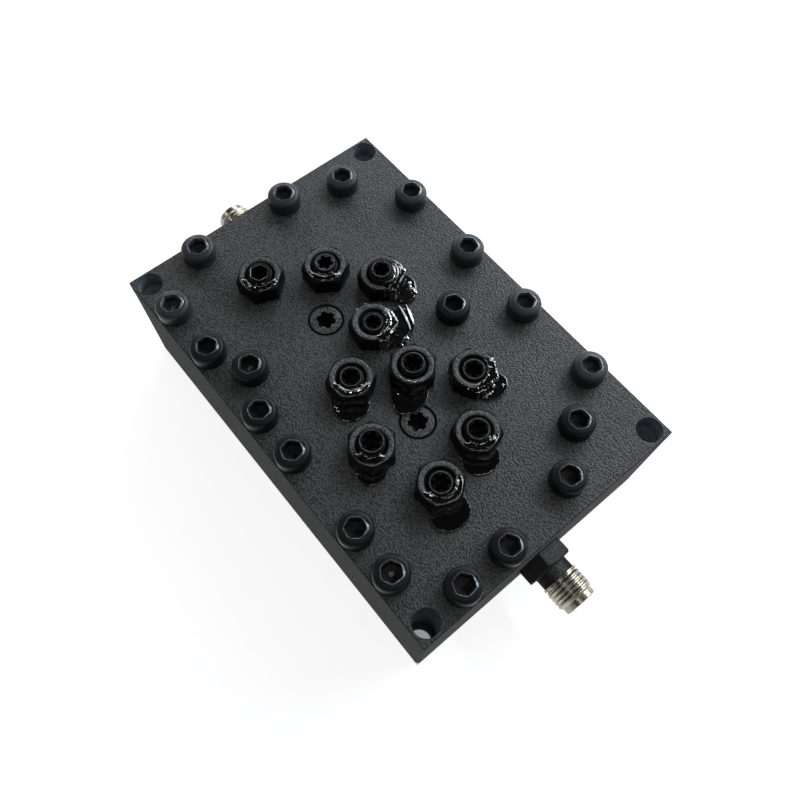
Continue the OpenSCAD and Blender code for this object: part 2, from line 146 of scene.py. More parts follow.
# Beads of lacquer on the pools and droplets at their edges, in mm: half width and height,
# then places on the cover.
BEADS = {
    "23": [(0.42, 0.135, [(-5.8, 6.45), (-4.6, 6.1), (-3.4, 5.72), (-2.2, 5.35), (-1, 4.85)]),
           (0.36, 0.122, [(-5.3, 7.5), (-4.4, 7.1), (-3.5, 6.7), (-2.6, 6.4), (-1.7, 6),
                         (-0.95, 5.15)]),
           (0.5, 0.2, [(-0.6, 4), (-0.2, 3), (-0.1, 2)])],
    "2": [(0.75, 0.38, [(-6.9, 10.6), (-6.5, 10), (-6.1, 9.4)]),
          (0.4, 0.2, [(-8.2, 10.9), (-7.6, 10.2), (-7.2, 9.4)])],
    "3": [(0.3, 0.115, [(1.75, -12.6), (1.95, -12.13)]),
          (0.22, 0.085, [(2.45, -12.7), (2.6, -12.35)])],
    "34": [(0.25, 0.096, [(5.95, -3.75), (6.12, -3.35)])],
    "4": [(0.3, 0.115, [(15.3, 9.8), (15.5, 10.27)])],
    "35": [(0.3, 0.115, [(12.1, -16.8), (12.3, -16.33)]),
           (0.2, 0.077, [(12.8, -16.75), (12.95, -16.4)])],
    "5": [(0.3, 0.115, [(24.2, -12.6), (24.4, -12.13)]),
          (0.2, 0.077, [(24.95, -12.45), (25.1, -12.1)])],
}

# Small lamps overhead for the glints on the lacquer: place in metres.
SPOTS = [(-0.131, -0.199, 0.405), (-0.007, -0.181, 0.434), (0.096, -0.116, 0.445),
         (0.149, -0.046, 0.444), (0.178, 0.036, 0.433), (0.183, 0.122, 0.416),
         (0.167, 0.193, 0.395), (0.134, 0.257, 0.37)]

# The rounded top of a lock nut: radius and drop in mm, from the bore to the chamfer.
NUT_FACE = [(2, 0.56), (2.1, 0.45), (2.22, 0.33), (2.34, 0.22), (2.46, 0.125), (2.58, 0.06),
            (2.72, 0.015), (2.86, 0), (3, 0), (3.14, 0.01), (3.27, 0.03)]


def linear(hex_colour):
    """An sRGB hex value as the linear colour that the shaders take."""
    parts = [int(hex_colour[i:i + 2], 16) / 255 for i in (1, 3, 5)]
    return [c / 12.92 if c <= 0.04045 else ((c + 0.055) / 1.055) ** 2.4 for c in parts]


def adder(tree):
    """Empties a node tree and gives the function that adds a node to it."""
    tree.nodes.clear()

    def add(kind, inputs=None, **settings):
        """Adds one node, sets its fields, and fills its inputs or links them, from another
        node by its first output that is in use."""
        made = tree.nodes.new("ShaderNode" + kind)
        for field, value in settings.items():
            setattr(made, field, value)
        for socket, value in (inputs or {}).items():
            if isinstance(value, bpy.types.Node):
                value = next(out for out in value.outputs if out.enabled)
            if isinstance(value, bpy.types.NodeSocket):
                tree.links.new(value, made.inputs[socket])
            else:
                made.inputs[socket].default_value = value
        return made
    return add


def start_material(name, *grains):
    """A new material, what adds its nodes, the place of each point in metres, and a noise for
    each grain: a width in mm, and a detail and a roughness where they are unusual."""
    made = bpy.data.materials.new(name)
    made.use_nodes = True
    add = adder(made.node_tree)
    where = add("TexCoord").outputs["Object"]
    noises = [add("TexNoise", {"Vector": where, "Scale": 1 / (width * MM),
                               **dict(zip(("Detail", "Roughness"), more))})
              for width, *more in grains]
    return made, add, where, *noises


def finish_material(made, add, colours, rough, relief, values):
    """Ends a material. Colours are a factor and what it mixes, rough is a value, or a node
    and its range, relief is a height, a strength and a depth in mm, and the values go to the
    shader as they are."""
    factor, first, last = colours
    if isinstance(rough, tuple):
        rough = add("MapRange", dict(zip(("Value", "To Min", "To Max"), rough)))
    mixed = add("Mix", {"Factor": factor, "A": first, "B": last}, data_type="RGBA")
    sockets = {"Base Color": mixed, "Roughness": rough, **values}
    if relief:
        height, strength, depth = relief
        sockets["Normal"] = add("Bump", {
            "Height": height, "Strength": strength, "Distance": depth * MM})
    add("OutputMaterial", {"Surface": add("BsdfPrincipled", sockets)})
    return made


def shade(colour, factor):
    """A colour made lighter or darker by a factor."""
    return (*(c * factor for c in colour), 1)


def upward(add, low, high):
    """0 where a face looks sideways or down, 1 where it looks straight up."""
    split = add("SeparateXYZ", {0: add("NewGeometry").outputs["Normal"]})
    return add("MapRange", {"Value": split.outputs["Z"], "From Min": low, "From Max": high})


def sand(add, where, grain):
    """Height of a fine sprayed sand with grains of a given width in metres."""
    fine = add("TexNoise", {"Vector": where, "Scale": 1 / grain, "Detail": 1, "Roughness": 0.6})
    return add("MapRange", {"Value": fine, "From Min": 0.36, "From Max": 0.64})


def bored(add, where, side):
    """1 on the walls of the four fixing holes, 0 elsewhere."""
    mirrored = add("VectorMath", {0: where}, operation="ABSOLUTE")
    away = add("VectorMath", {0: mirrored, 1: FIXING}, operation="SUBTRACT")
    level = add("VectorMath", {0: away, 1: (1, 1, 0)}, operation="MULTIPLY")
    reach = add("VectorMath", {0: level}, operation="LENGTH")
    near = add("Math", {0: reach, 1: FIXING_REACH}, operation="LESS_THAN")
    return add("Math", {0: near, 1: side}, operation="MULTIPLY")


def sand_coat(finish):
    """Textured black powder coat, sprayed on aluminium and baked.

    The eye sees a fine even sand, grains and dark pits under half a millimetre across.
    It is painted near black where a face slopes, over a broken edge or into a countersink,
    as painted shade. It lies drier on the upright sides, and is a thin slate film in the
    fixing holes, painted lighter deeper in and darker at the mouth: painted light and shade."""
    made, add, where, drift = start_material("sand_textured_powder_coat", (9,))
    coat, bore = finish.coat_colour, finish.bore_colour
    height = sand(add, where, finish.coat_grain)
    top, side = upward(add, 0.75, 0.98), upward(add, 0.5, 0.1)
    flat = add("Math", {0: top, 1: side}, operation="MAXIMUM")
    colour = add("Mix", {
        "Factor": height, "A": shade(coat, 0.15), "B": shade(coat, 2.9)}, data_type="RGBA")
    # Bore tone painted from 0.5 at the mouth to 2.6 times deep down: painted shade and fill light.
    depth = add("MapRange", {"Value": add("SeparateXYZ", {0: where}).outputs["Z"],
                             "From Min": COVER_TOP - 9 * MM, "From Max": COVER_TOP})
    film = add("Mix", {"Factor": depth, "A": shade(bore, 2.6), "B": shade(bore, 0.5)},
               data_type="RGBA")
    bare = add("Mix", {"Factor": bored(add, where, side), "A": colour, "B": film},
               data_type="RGBA")
    rough = add("MapRange", {
        "Value": drift, "From Min": 0.3, "From Max": 0.7, "To Min": 0.46, "To Max": 0.54})
    dry = add("Mix", {"Factor": top, "A": 0.92, "B": rough})
    # Sloping faces take 0.12 of the coat colour: painted shade on broken edges and in
    # countersinks.
    return finish_material(made, add, (flat, shade(coat, 0.12), bare), dry,
                           (height, finish.coat_depth, 0.08), {"Specular IOR Level": 0.5})


def oxide(name, colour, gloss):
    """A black oxide skin with small stains, of a colour and a specular level."""
    made, add, _, skin, stain = start_material(name, (0.3,), (2.2,))
    rough = add("MapRange", {
        "Value": skin, "From Min": 0.3, "From Max": 0.7, "To Min": 0.34, "To Max": 0.5})
    return finish_material(made, add, (stain, shade(colour, 0.5), shade(colour, 1.5)), rough,
                           (skin, 0.4, 0.03), {"Specular IOR Level": gloss})


def black_oxide(finish):
    """Alloy steel screws, cold headed, then black oxided and oiled.

    The eye sees a deep satin blue-black skin with soft reflections."""
    return oxide("black_oxide_alloy_steel", finish.steel_colour, 0.16)


def dull_oxide(finish):
    """Black oxide painted a bluish grey: on the far caps a painted haze of light, and the top
    of the one bare adjusting screw.
    """
    return oxide("dried_black_oxide", finish.dull_colour, 0.3)


def rubbed_oxide(finish):
    """Black oxide worn thin round a key socket by the key and by handling.

    The eye sees a paler steel grey ring with small bright rubs. On the cap screws it is also
    a painted highlight, widened on the mouth's lit side, and painted light on some socket floors."""
    made, add, _, rub = start_material("black_oxide_worn_by_a_key", (0.45, 3, 0.65))
    pale = finish.worn_colour
    worn = add("MapRange", {"Value": rub, "From Min": 0.38, "From Max": 0.68})
    return finish_material(made, add, (worn, shade(pale, 0.35), shade(pale, 2.2)),
                           (worn, 0.45, 0.22), (rub, 0.5, 0.03), {"Metallic": 0.35})


def coated_nut(finish):
    """Machined steel lock nut under a thin sprayed black coat.

    The eye sees the same fine grain as on the cover on its flat face. Where the face slopes,
    on the chamfer and down the countersink, it is painted to fade to near black: painted shade."""
    made, add, where = start_material("black_coated_machined_steel")
    coat = finish.nut_colour
    height = sand(add, where, finish.coat_grain)
    grained = add("Mix", {
        "Factor": height, "A": shade(coat, 0.25), "B": shade(coat, 5.4)}, data_type="RGBA")
    # Sloping faces take 0.2 of the nut colour: painted shade on the chamfer and countersink.
    return finish_material(made, add, (upward(add, 0.84, 0.97), shade(coat, 0.2), grained),
                           (height, 0.56, 0.48), (height, finish.coat_depth, 0.08),
                           {"Specular IOR Level": 0.45})


def cut_thread_steel(finish):
    """Machined steel, blackened after it was cut: the adjusting screws and nut flats.

    The eye sees near-black walls with a faint soft gloss and fine tool lines."""
    made, add, _, skin = start_material("blackened_cut_steel", (0.25,))
    steel = finish.screw_colour
    return finish_material(made, add, (skin, shade(steel, 0.4), shade(steel, 1.6)),
                           (skin, 0.3, 0.46), (skin, 0.3, 0.02), {"Specular IOR Level": 0.08})


def screw_lacquer(finish):
    """Black locking lacquer, dripped on the set screws and left to dry glossy.

    The eye sees a wet, near-black film with small hard highlights and slow waves."""
    made, add, _, wave, tint = start_material("dried_black_screw_lacquer", (0.7, 1.5), (1.6,))
    film = finish.lacquer_colour
    return finish_material(made, add, (tint, shade(film, 0.3), shade(film, 1.8)), 0.04,
                           (wave, 0.2, 0.1), {
        "Specular IOR Level": 1, "Coat Weight": 1, "Coat Roughness": 0.03, "Coat IOR": 1.5})


def nickel_plate(finish):
    """Turned brass with a nickel plate.

    The eye sees a warm grey metal with fine rings left by the lathe tool, a few
    thousandths deep and here drawn 0.1 mm apart so that they show."""
    made, add, where, bloom = start_material("nickel_plated_turned_brass", (0.8,))
    plate = finish.nickel_colour
    stretched = add("Mapping", {"Vector": where, "Scale": (1, 0.04, 0.04)})
    cuts = add("TexNoise", {"Vector": stretched, "Scale": 1 / (0.1 * MM)})
    both = add("Math", {0: cuts, 1: bloom}, operation="ADD")
    tone = add("MapRange", {"Value": both, "From Min": 0.75, "From Max": 1.25})
    return finish_material(made, add, (tone, shade(plate, 0.5), shade(plate, 1)),
                           (cuts, 0.2, 0.34), (cuts, 0.4, 0.015), {"Metallic": 1})


def machined_ptfe(finish):
    """Turned PTFE insulator: waxy white, faintly translucent, with light tool rings."""
    made, add, _, haze = start_material("machined_ptfe", (0.4,))
    white = finish.ptfe_colour
    return finish_material(made, add, (haze, shade(white, 0.9), shade(white, 1)), 0.42,
                           (haze, 0.1, 0.01), {"IOR": 1.35})


def metal_plate(name, colour, low, high):
    """A thin bright plate over a turned or drawn metal, with small clouds in its gloss."""
    made, add, _, cloud = start_material(name, (0.3,))
    return finish_material(made, add, (cloud, shade(colour, 0.85), shade(colour, 1.1)),
                           (cloud, low, high), None, {"Metallic": 1})


def gold_plate(finish):
    """Hard gold on a beryllium copper contact: a warm, smooth yellow."""
    return metal_plate("hard_gold_on_copper", finish.gold_colour, 0.18, 0.3)


def silver_plate(finish):
    """Silver-plated copper wire, drawn smooth and slightly tarnished."""
    return metal_plate("silver_plated_copper", finish.silver_colour, 0.22, 0.36)


@cache
def material(kind):
    """The one shared material of a kind, made when it is first asked for."""
    return kind(bpy.context.scene.cavity_filter_finish)


def polar(radius, angle, z):
    return Vector((radius * math.cos(angle), radius * math.sin(angle), z))


def skin(bm, rings, index=0):
    """Faces between rings of equal length, each ring closed; index is the material."""
    made = [[bm.verts.new(p) for p in ring] for ring in rings]
    n = len(rings[0])
    for low, high in zip(made, made[1:]):
        for i in range(n):
            j = (i + 1) % n
            bm.faces.new((low[i], low[j], high[j], high[i])).material_index = index
    return made


def close_ring(bm, ring, centre, flip=False, index=0):
    """A fan of triangles from one ring to a middle point."""
    tip = bm.verts.new(centre)
    for first, second in zip(ring, ring[1:] + ring[:1]):
        three = (first, second, tip)
        bm.faces.new(three[::-1] if flip else three).material_index = index


def to_mesh(bm, name, sharp=38):
    """A finished mesh with smooth faces that break at edges sharper than the angle."""
    same = 0.0004 * MM
    bmesh.ops.remove_doubles(bm, verts=bm.verts, dist=same)
    bmesh.ops.dissolve_degenerate(bm, edges=bm.edges, dist=same)
    bmesh.ops.recalc_face_normals(bm, faces=bm.faces)
    for face in bm.faces:
        face.smooth = True
    for edge in bm.edges:
        if len(edge.link_faces) == 2:
            edge.smooth = edge.calc_face_angle(0) < math.radians(sharp)
    mesh = bpy.data.meshes.new(name)
    bm.to_mesh(mesh)
    bm.free()
    return mesh


def put(name, data):
    """A new object in the scene that holds some data."""
    obj = bpy.data.objects.new(name, data)
    bpy.context.scene.collection.objects.link(obj)
    return obj


def place(name, bm, sharp, materials, replaced=()):
    """Adds a piece that rides the one body, materials and CAD nodes."""
    obj = put(name, to_mesh(bm, name + "_shape", sharp))
    for kind in materials:
        obj.data.materials.append(material(kind))
    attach(obj, "root")
    if replaced:
        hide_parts(*replaced)


def dress(node_name, kind):
    """Gives a CAD node that is kept its own material."""
    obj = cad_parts[node_name]
    obj.data.materials.clear()
    obj.data.materials.append(material(kind))
    return obj


def on_axis(node_name, z=0):
    """The point on a node's upright axis at a height in metres."""
    low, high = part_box(node_name)
    return Vector(((low.x + high.x) / 2, (low.y + high.y) / 2, z))


def hex_angles(turn):
    """Angles round a hexagon, denser near its corners, which start at the turn."""
    steps = (-30, -25, -20, -16, -12, -9, -6, -3.5, -1.75, 0, 1.75, 3.5, 6, 9, 12, 16, 20, 25)
    return [math.radians(turn + 60 * k + s) for k in range(6) for s in steps]


def even_angles(turn):
    """Angles round a circle at even steps, which start at the turn."""
    return [math.radians(turn + 2.5 * k) for k in range(144)]


def hex_radius(angle, turn, flat, rounding):
    """Distance from the middle to the side of a hexagon with rounded corners."""
    off = (math.degrees(angle) - turn + 30) % 60 - 30
    d, half_side = math.radians(abs(off)), math.radians(30)
    middle = (flat - rounding) / math.cos(half_side)
    if d < math.atan2(rounding * 0.5, middle + rounding * math.cos(half_side)):
        return middle * math.cos(d) + math.sqrt(rounding ** 2 - (middle * math.sin(d)) ** 2)
    return flat / math.cos(half_side - d)


def nut_side(angle, turn):
    """Distance in mm from the axis of a lock nut to its side."""
    return hex_radius(angle, turn, NUT_FLAT, NUT_ROUNDING)


def nut_fall(radius):
    """How far the chamfer of a lock nut has fallen at a radius, in mm."""
    return max(0, radius - NUT_FACE_END) * CHAMFER


def round_table(table, angle, smooth=7):
    """A value at an angle in degrees from a table that runs round the circle."""
    def at(a):
        for (a0, v0), (a1, v1) in zip(table, table[1:]):
            span = (a1 - a0) % 360
            step = (a - a0) % 360
            if step <= span:
                return v0 + (v1 - v0) * step / span
        return min(table[0][1], table[-1][1])
    return sum(at(angle + d * smooth / 2) for d in (-2, -1, 0, 1, 2)) / 5


def turned(bm, angles, rows, centre, index=0, tip=None, base=None):
    """Skins rows of a radius and a height in mm, each a number or a function of the angle,
    and closes the last and the first at a height in mm on the axis, where one is given."""
    def at(value, a):
        return (value(a) if callable(value) else value) * MM

    made = skin(bm, [[centre + polar(at(radius, a), a, at(z, a)) for a in angles]
                     for radius, z in rows], index)
    if tip is not None:
        close_ring(bm, made[-1], centre + Vector((0, 0, tip * MM)), index=index)
    if base is not None:
        close_ring(bm, made[0], centre + Vector((0, 0, base * MM)), flip=True)


def scaled(outline, factor):
    return lambda a: outline(a) * factor


def lobes(turn, outer, rib_at, rib):
    """Outline of a six-lobe socket as a function of the angle."""
    def outline(a):
        off = math.radians((math.degrees(a) - turn + 30) % 60 - 30)
        side = rib_at * math.sin(off)
        if abs(side) >= rib:
            return outer
        return min(outer, rib_at * math.cos(off) - math.sqrt(rib ** 2 - side ** 2))
    return outline


def helix(bm, angles, rows, pitch, low, high, end_radius, trim, centre=Vector()):
    """A helical thread round +Z from low to high, over a centre at height 0. A row is a part of
    the pitch and a radius; trim lowers a radius near the ends, which are plain circles."""
    grid = [(low + (t + part) * pitch, r)
            for t in range(-1, int((high - low) / pitch) + 3) for part, r in rows]
    made = []
    count = len(angles)
    for i, a in enumerate(angles):
        column = []
        for z, r in grid:
            height = min(max(z + pitch * i / count, low), high)
            r = end_radius if height in (low, high) else trim(r, height)
            column.append(bm.verts.new(centre + polar(r, a, height)))
        made.append(column)
    for i in range(count):
        after = made[(i + 1) % count]
        shift = len(rows) if i == count - 1 else 0
        for j in range(len(grid) - 1 - shift):
            bm.faces.new((made[i][j], after[j + shift], after[j + 1 + shift], made[i][j + 1]))


def paint(name, description, hex_colour):
    """A colour that a user can change."""
    return FloatVectorProperty(name=name, description=description, subtype="COLOR",
                               default=linear(hex_colour), min=0, max=1)


def amount(name, description, default, high=1):
    """A plain number that a user can change."""
    return FloatProperty(name=name, description=description, default=default, min=0, max=high)


def distance(name, description, default, low, high):
    """A length in mm that a user can change, kept in metres."""
    return FloatProperty(name=name, description=description, default=default * MM,
                         min=low * MM, max=high * MM, subtype="DISTANCE", unit="LENGTH")


class FilterFinish(bpy.types.PropertyGroup):
    """Colours and grain of the filter's finishes."""

    coat_colour: paint("Coat", "Powder coat of the block", "#252626")
    coat_grain: distance("Coat grain", "Width of a sand grain of the coat", 0.32, 0.1, 1)
    coat_depth: amount("Coat depth", "How strongly the sand of the coat stands out", 0.6)
    steel_colour: paint("Cover screws", "Black oxide of the cover screws", "#121416")
    # Bluish grey of the far caps: a painted haze of light.
    dull_colour: paint("Dull screws", "Black oxide that has gone dull", "#2a2d33")
    # The bore colour is also the base of the painted light and shade down the fixing holes.
    bore_colour: paint("Fixing holes", "Thin film in the fixing holes", "#878e98")
    # Pale worn oxide; on the cap screws also a painted highlight and painted light.
    worn_colour: paint("Worn oxide", "Black oxide where a key has worn it", "#606467")
    nut_colour: paint("Lock nuts", "Coat of the lock nuts", "#232424")
    screw_colour: paint("Adjusting screws", "Blackened steel of the adjusting screws", "#0a0b0c")
    lacquer_colour: paint("Lacquer", "Locking lacquer round the nuts", "#060605")
    nickel_colour: paint("Nickel", "Nickel plate of the jacks", "#b4aea0")
    ptfe_colour: paint("Insulator", "PTFE of the jacks", "#e9e6de")
    gold_colour: paint("Contacts", "Gold plate of the contacts", "#d6ac5c")
    silver_colour: paint("Tap wires", "Silver plate of the tap wires", "#cfcabb")


class FilterSizes(bpy.types.PropertyGroup):
    """Sizes of the details that the frame leaves out."""

    screw_pitch: distance("Screw pitch", "Thread pitch of the adjusting screws", 0.7, 0.3, 1)
    jack_pitch: distance("Jack pitch", "Thread pitch of the jacks, 36 to the inch", 0.7056, 0.5, 1)
    edge_break: distance("Edge break", "Width of the cover's broken edges", 0.18, 0.05, 0.5)
    film_height: distance("Film height", "Thickness of the lacquer on the nuts", 0.13, 0.05, 0.5)


class FilterStage(bpy.types.PropertyGroup):
    """Floor, lamps and sky."""

    floor_radius: distance("Floor", "Radius of the floor before it sweeps up", 500, 300, 5000)
    floor_lift: amount("Floor lift", "Light added to the floor where it is seen", 0.84)
    sky: amount("Sky", "Strength of the sky on its bright side", 0.1)
    window_level: amount("Window", "Level of the broad lamp at the far left", 0.54, 2)
    strip_level: amount("Strip", "Level of the slim lamp at the far long side", 0.45, 2)
    side_level: amount("Sides", "Level of the low lamps round the object", 0.19, 2)
    spot_level: amount("Spots", "Level of each small lamp overhead", 0.022, 2)


class CAVITYFILTER_OT_block(bpy.types.Operator):
    """Coats the housing and the cover and breaks the sharp edges of the cover"""

    bl_idname = "cavity_filter.block"
    bl_label = "Housing and cover"

    def execute(self, context):
        sizes = context.scene.cavity_filter_sizes
        for node_name in ("housing", "cover"):
            obj = dress(node_name, sand_coat)
            weld = obj.modifiers.new("weld", "WELD")
            weld.merge_threshold = 0.001 * MM
            edge = obj.modifiers.new("edge_break", "BEVEL")
            edge.width = sizes.edge_break if node_name == "cover" else 0.1 * MM
            edge.limit_method = "ANGLE"
            edge.angle_limit = math.radians(50)
        return {"FINISHED"}


class CAVITYFILTER_OT_cover_screws(bpy.types.Operator):
    """Builds the cap screws and the countersunk screws of the cover"""

    bl_idname = "cavity_filter.cover_screws"
    bl_label = "Cover screws"

    def execute(self, context):
        bm = bmesh.new()
        for number, (x, y, turn) in enumerate(CAPS):
            skin_index = 2 if number in DULL_CAPS else 0
            self.cap_screw(bm, Vector((x * MM, y * MM, COVER_TOP)), turn, skin_index,
                           1 if number in PALE_SOCKETS else skin_index)
        place("cap_screws", bm, 33,
              [black_oxide, rubbed_oxide, dull_oxide], ["cover_screws"])
        bm = bmesh.new()
        for x, y, turn in FLUSH:
            self.flush_screw(bm, Vector((x * MM, y * MM, COVER_TOP)), turn)
        place("countersunk_screws", bm, 33,
              [cut_thread_steel, coated_nut], ["flush_screws"])
        return {"FINISHED"}

    def cap_screw(self, bm, foot, turn, skin_index, floor_index):
        """M3 cap screw: a rounded head 2.8 mm high with a 2.5 mm hexagon socket, whose mouth
        flares and has a worn edge, wider on the side toward 50 degrees where the lamps light it:
        wear all round with a painted highlight on that side. It stands over a drilled floor."""
        angles, high = hex_angles(turn), 2.8
        hexagon = partial(hex_radius, turn=turn, flat=1.25, rounding=0.03)
        mouth = partial(hex_radius, turn=turn, flat=1.5, rounding=0.8)

        # Widens the pale worn edge toward 50 degrees, the lit side: a painted highlight there.
        def rub(a):
            return 0.3 * max(0, math.cos(a - math.radians(50))) ** 8

        body = [*SHANK, (1.5, 0), (2.66, 0), (2.75, 0.09), (2.75, 1.85)]
        body += [(1.95 + 0.8 * math.sin(t), 1.9 + 0.8 * math.cos(t))
                 for t in map(math.radians, (80, 66, 52, 38, 26, 15, 6))]
        edge = [(lambda a: mouth(a) + 0.1 + rub(a), lambda a: high - 0.01 - 0.42 * rub(a)),
                (lambda a: mouth(a) + 0.05, high), (mouth, high - 0.05)]
        body += [(1.98, lambda a: high - 0.09 - 0.3 * rub(a)), edge[0]]
        socket = [edge[-1], (scaled(hexagon, 1.03), high - 0.25), (hexagon, high - 0.3),
                  (hexagon, high - 1.4), (scaled(hexagon, 0.3), high - 1.55)]
        turned(bm, angles, body, foot, skin_index, base=SHANK[0][1])
        turned(bm, angles, edge, foot, 1)
        turned(bm, angles, socket, foot, skin_index)
        # Some socket floors take the pale worn material: painted light where light falls in.
        turned(bm, angles, [socket[-1], (scaled(hexagon, 0.15), high - 1.6)], foot,
               floor_index, tip=high - 1.65)

    def flush_screw(self, bm, top, turn):
        """M3 countersunk screw, its grained head level with the cover's face."""
        angles = even_angles(turn)
        outline = lobes(turn, 1.48, 1.64, 0.45)
        body = [*SHANK, (1.5, -1.5), (2.84, -0.17), (2.84, -0.13), (2.66, -0.3), (2.6, -0.28),
                (2.56, -0.03)]
        turned(bm, angles, body, top, 0, base=SHANK[0][1])
        mouth = scaled(outline, 1.08)
        turned(bm, angles, [body[-1], (2.5, 0), (mouth, 0)], top, 1)
        turned(bm, angles, [(mouth, 0), (outline, -0.12), (outline, -1.3),
                            (scaled(outline, 0.75), -1.34)], top, 0, tip=-1.5)


class CAVITYFILTER_OT_lock_nuts(bpy.types.Operator):
    """Builds the lock nuts with rounded corners and a countersunk mouth"""

    bl_idname = "cavity_filter.lock_nuts"
    bl_label = "Lock nuts"

    def execute(self, context):
        low, high = COVER_TOP / MM, (COVER_TOP + NUT_HEIGHT) / MM
        for key, (_, turn, _, _) in STACKS.items():
            nut = "lock_nut_" + key
            centre = on_axis(nut)

            def side(inset):
                return lambda a: nut_side(a, turn) - inset

            def chamfer(inset, sink):
                return lambda a: high - sink - nut_fall(nut_side(a, turn) - inset)

            bm = bmesh.new()
            angles = hex_angles(turn)
            rows = [(r, high - drop) for r, drop in NUT_FACE]
            bend = [(0.2, 0.08), (0.09, 0.13), (0.03, 0.2), (0, 0.31)]
            wall = [rows[-1], *((side(i), chamfer(i, sink)) for i, sink in bend),
                    (side(0), low + 0.15), (side(0.1), low), (1.9, low), (1.9, high - 0.66)]
            turned(bm, angles, rows[4:], centre, 0)
            turned(bm, angles, wall + rows[:5], centre, 1)
            place(nut + "_dressed", bm, 50,
                  [coated_nut, cut_thread_steel], [nut])
        return {"FINISHED"}


class CAVITYFILTER_OT_adjusting_screws(bpy.types.Operator):
    """Builds the adjusting screws with real helical threads and key sockets"""

    bl_idname = "cavity_filter.adjusting_screws"
    bl_label = "Adjusting screws"

    def execute(self, context):
        pitch = context.scene.cavity_filter_sizes.screw_pitch
        crest, root = 2 * MM, 1.66 * MM
        rows = ((0, crest), (0.14, crest), (0.38, root), (0.62, root))
        for screw, nut_turn, look, worn in STACKS.values():
            turn = nut_turn + SOCKET_TURN
            centre = on_axis(screw)
            low, high = (corner.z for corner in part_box(screw))
            angles = even_angles(turn)
            bm = bmesh.new()
            top = high - 0.1 * MM
            helix(bm, angles, rows, pitch, low, top, root,
                  lambda r, h: min(r, min(top - h, h - low) + root), centre)
            middle = on_axis(screw, high)
            edge = [(1.66, -0.1), (1.82, -0.085), (1.85, -0.06), (1.8, -0.04),
                    (worn + 0.05, 0)]
            if look == "hexagon":
                outline = partial(hex_radius, turn=turn, flat=1.32, rounding=0.3)
                ring = [edge[-1], (scaled(outline, 1.06), -0.01)]
                crown = [ring[-1], (outline, -0.06)]
            else:
                outline = lobes(turn, 0.87 * worn, 0.92 * worn, 0.28 * worn)
                ring = [edge[-1], (worn - 0.03, -0.005)]
                crown = [ring[-1], (worn - 0.08, -0.05), (scaled(outline, 1.05), -0.06)]
            ring_index, crown_index = {"hexagon": (0, 1), "ring": (1, 0), "bare": (1, 2)}[look]
            for part, index in ((edge, 0), (ring, ring_index), (crown, crown_index)):
                turned(bm, angles, part, middle, index)
            turned(bm, angles, [crown[-1], (outline, -0.11), (outline, -2.2),
                                (scaled(outline, 0.75), -2.25)], middle, tip=-2.6)
            foot = [bm.verts.new(centre + polar(root, a, low)) for a in angles]
            close_ring(bm, foot, on_axis(screw, low), flip=True)
            place(screw + "_threaded", bm, 35,
                  [cut_thread_steel, rubbed_oxide, dull_oxide], [screw])
        return {"FINISHED"}


